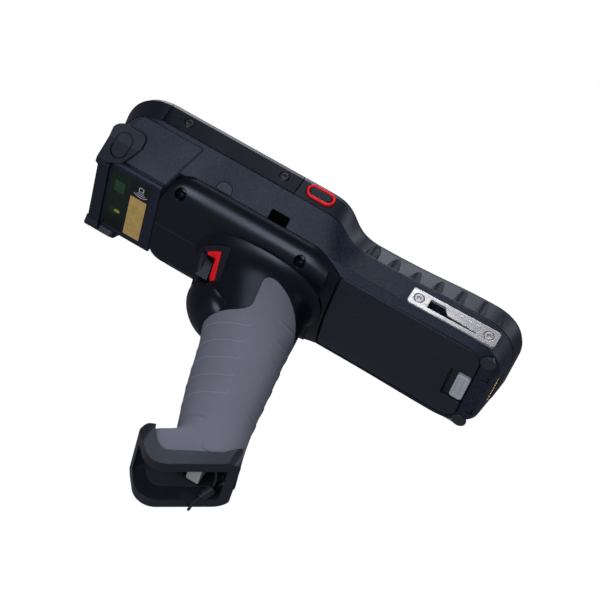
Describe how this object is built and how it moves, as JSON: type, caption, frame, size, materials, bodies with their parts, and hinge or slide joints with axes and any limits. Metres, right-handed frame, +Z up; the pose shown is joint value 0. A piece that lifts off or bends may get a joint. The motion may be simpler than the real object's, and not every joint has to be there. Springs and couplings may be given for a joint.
{
  "type": "handheld barcode scanner",
  "caption": "Handheld barcode scanner: rugged keypad terminal with screen held in a pistol-grip module with trigger, rubber sleeve and open foot.",
  "frame": {"origin": "centre of the bounding box in plan, on the level of the foot's lowest point", "axes": "+Z up with the screen on top and the grip hanging down, -Y the way the scan window looks, +X to the left of someone holding the grip and looking the way it scans (the side with the port plug)"},
  "size_m": [0.0876, 0.212, 0.1538],
  "materials": {
    "housing_plastic": "fine-textured moulded plastic, blue-black",
    "overmould_rubber": "satin rubber overmould",
    "saddle_plastic": "satin moulded plastic, slightly glossy on the curves",
    "sleeve_rubber": "soft grey rubber",
    "foot_plastic": "satin moulded plastic",
    "trim_red": "glossy red",
    "trigger_black": "glossy black",
    "bezel_grey": "smooth dark grey",
    "latch_grey": "satin light grey",
    "plug_grey": "satin grey rubber",
    "display_glass": "dark glossy cover glass",
    "window_glass": "dark green-black coated window",
    "key_black": "satin keycaps with printed legends",
    "key_blue": "satin coloured keycap",
    "button_grey": "satin plastic",
    "plate_chrome": "polished plate",
    "screw_steel": "socket screws, steel",
    "screw_black": "black-coated screws",
    "bracket_metal": "plain metal",
    "board_green": "printed circuit board",
    "gasket_black": "soft seal",
    "contact_brass": "plated contacts",
    "battery_plastic": "plain plastic case",
    "cord_black": "woven cord",
    "spring_steel": "spring wire"
  },
  "bodies": {
    "terminal": {"cord_lock": "key_black", "display_glass": "display_glass", "display_module": "board_green", "foot_frame": "foot_plastic", "front_housing": "housing_plastic", "grip_bracket": "bracket_metal", "grip_core": "battery_plastic", "grip_shell_left": "saddle_plastic", "grip_shell_right": "saddle_plastic", "grip_sleeve": "sleeve_rubber", "head_bumper": "overmould_rubber", "housing_gasket": "gasket_black", "housing_screws": "screw_black", "key_board": "board_green", "key_mat": "gasket_black", "keypad_overmould": "overmould_rubber", "lanyard_cord": "cord_black", "lanyard_knot": "cord_black", "main_board": "board_green", "mid_frame": "bracket_metal", "rail_screws": "screw_black", "rear_housing": "housing_plastic", "saddle_screws": "screw_steel", "scan_engine": "battery_plastic", "scan_window": "window_glass", "side_port_plug": "plug_grey", "side_rail_left": "overmould_rubber", "side_rail_right": "overmould_rubber", "side_ring_left": "trim_red", "side_ring_right": "trim_red", "strap_plate_left": "plate_chrome", "strap_plate_right": "plate_chrome", "strap_screws": "screw_steel", "tail_contacts": "contact_brass", "tail_plugs": "plug_grey", "trigger_bezel": "bezel_grey", "trigger_pin": "screw_steel", "trigger_spring": "spring_steel", "trigger_switch": "battery_plastic", "trigger_trim": "trim_red", "window_boot": "overmould_rubber"},
    "scan_key_body": {"scan_key": "key_blue"},
    "key_1_body": {"key_1": "key_black"},
    "key_2_body": {"key_2": "key_black"},
    "key_3_body": {"key_3": "key_black"},
    "key_4_body": {"key_4": "key_black"},
    "key_5_body": {"key_5": "key_black"},
    "key_6_body": {"key_6": "key_black"},
    "key_7_body": {"key_7": "key_black"},
    "key_8_body": {"key_8": "key_black"},
    "key_9_body": {"key_9": "key_black"},
    "key_dot_body": {"key_dot": "key_black"},
    "key_0_body": {"key_0": "key_black"},
    "key_enter_body": {"key_enter": "key_blue"},
    "side_button_right_body": {"side_button_right": "button_grey"},
    "side_button_left_body": {"side_button_left": "button_grey"},
    "trigger_body": {"trigger": "trigger_black"},
    "battery_body": {"battery_cover": "housing_plastic", "battery_pack": "battery_plastic"},
    "latch_body": {"battery_latch": "latch_grey"}
  },
  "joints": [
    {"name": "scan_key_press", "type": "slide", "parent": "terminal", "child": "scan_key_body", "axis": [0, 0, -1], "range_m": [0, 0.0006], "stiffness_N_per_m": 600, "springref_m": -0.0003},
    {"name": "key_1_press", "type": "slide", "parent": "terminal", "child": "key_1_body", "axis": [0, 0, -1], "range_m": [0, 0.0006], "stiffness_N_per_m": 600, "springref_m": -0.0003},
    {"name": "key_2_press", "type": "slide", "parent": "terminal", "child": "key_2_body", "axis": [0, 0, -1], "range_m": [0, 0.0006], "stiffness_N_per_m": 600, "springref_m": -0.0003},
    {"name": "key_3_press", "type": "slide", "parent": "terminal", "child": "key_3_body", "axis": [0, 0, -1], "range_m": [0, 0.0006], "stiffness_N_per_m": 600, "springref_m": -0.0003},
    {"name": "key_4_press", "type": "slide", "parent": "terminal", "child": "key_4_body", "axis": [0, 0, -1], "range_m": [0, 0.0006], "stiffness_N_per_m": 600, "springref_m": -0.0003},
    {"name": "key_5_press", "type": "slide", "parent": "terminal", "child": "key_5_body", "axis": [0, 0, -1], "range_m": [0, 0.0006], "stiffness_N_per_m": 600, "springref_m": -0.0003},
    {"name": "key_6_press", "type": "slide", "parent": "terminal", "child": "key_6_body", "axis": [0, 0, -1], "range_m": [0, 0.0006], "stiffness_N_per_m": 600, "springref_m": -0.0003},
    {"name": "key_7_press", "type": "slide", "parent": "terminal", "child": "key_7_body", "axis": [0, 0, -1], "range_m": [0, 0.0006], "stiffness_N_per_m": 600, "springref_m": -0.0003},
    {"name": "key_8_press", "type": "slide", "parent": "terminal", "child": "key_8_body", "axis": [0, 0, -1], "range_m": [0, 0.0006], "stiffness_N_per_m": 600, "springref_m": -0.0003},
    {"name": "key_9_press", "type": "slide", "parent": "terminal", "child": "key_9_body", "axis": [0, 0, -1], "range_m": [0, 0.0006], "stiffness_N_per_m": 600, "springref_m": -0.0003},
    {"name": "key_dot_press", "type": "slide", "parent": "terminal", "child": "key_dot_body", "axis": [0, 0, -1], "range_m": [0, 0.0006], "stiffness_N_per_m": 600, "springref_m": -0.0003},
    {"name": "key_0_press", "type": "slide", "parent": "terminal", "child": "key_0_body", "axis": [0, 0, -1], "range_m": [0, 0.0006], "stiffness_N_per_m": 600, "springref_m": -0.0003},
    {"name": "key_enter_press", "type": "slide", "parent": "terminal", "child": "key_enter_body", "axis": [0, 0, -1], "range_m": [0, 0.0006], "stiffness_N_per_m": 600, "springref_m": -0.0003},
    {"name": "side_button_right_press", "type": "slide", "parent": "terminal", "child": "side_button_right_body", "axis": [-0.9751, 0, 0.2215], "range_m": [0, 0.0006], "stiffness_N_per_m": 600, "springref_m": -0.0003},
    {"name": "side_button_left_press", "type": "slide", "parent": "terminal", "child": "side_button_left_body", "axis": [0.9751, 0, 0.2215], "range_m": [0, 0.0006], "stiffness_N_per_m": 600, "springref_m": -0.0003},
    {"name": "trigger_pull", "type": "hinge", "parent": "terminal", "child": "trigger_body", "pos_m": [0, -0.0312, 0.11618], "axis": [1, 0, 0], "range_deg": [0, 7], "stiffness_Nm_per_rad": 0.6, "springref_deg": -3.44},
    {"name": "battery_swing", "type": "hinge", "parent": "terminal", "child": "battery_body", "pos_m": [0, 0.02175, 0.12278], "axis": [-1, 0, 0], "range_deg": [0, 25]},
    {"name": "battery_latch_slide", "type": "slide", "parent": "battery_body", "child": "latch_body", "axis": [0, -1, 0], "range_m": [0, 0.003], "stiffness_N_per_m": 300, "springref_m": -0.001}
  ]
}
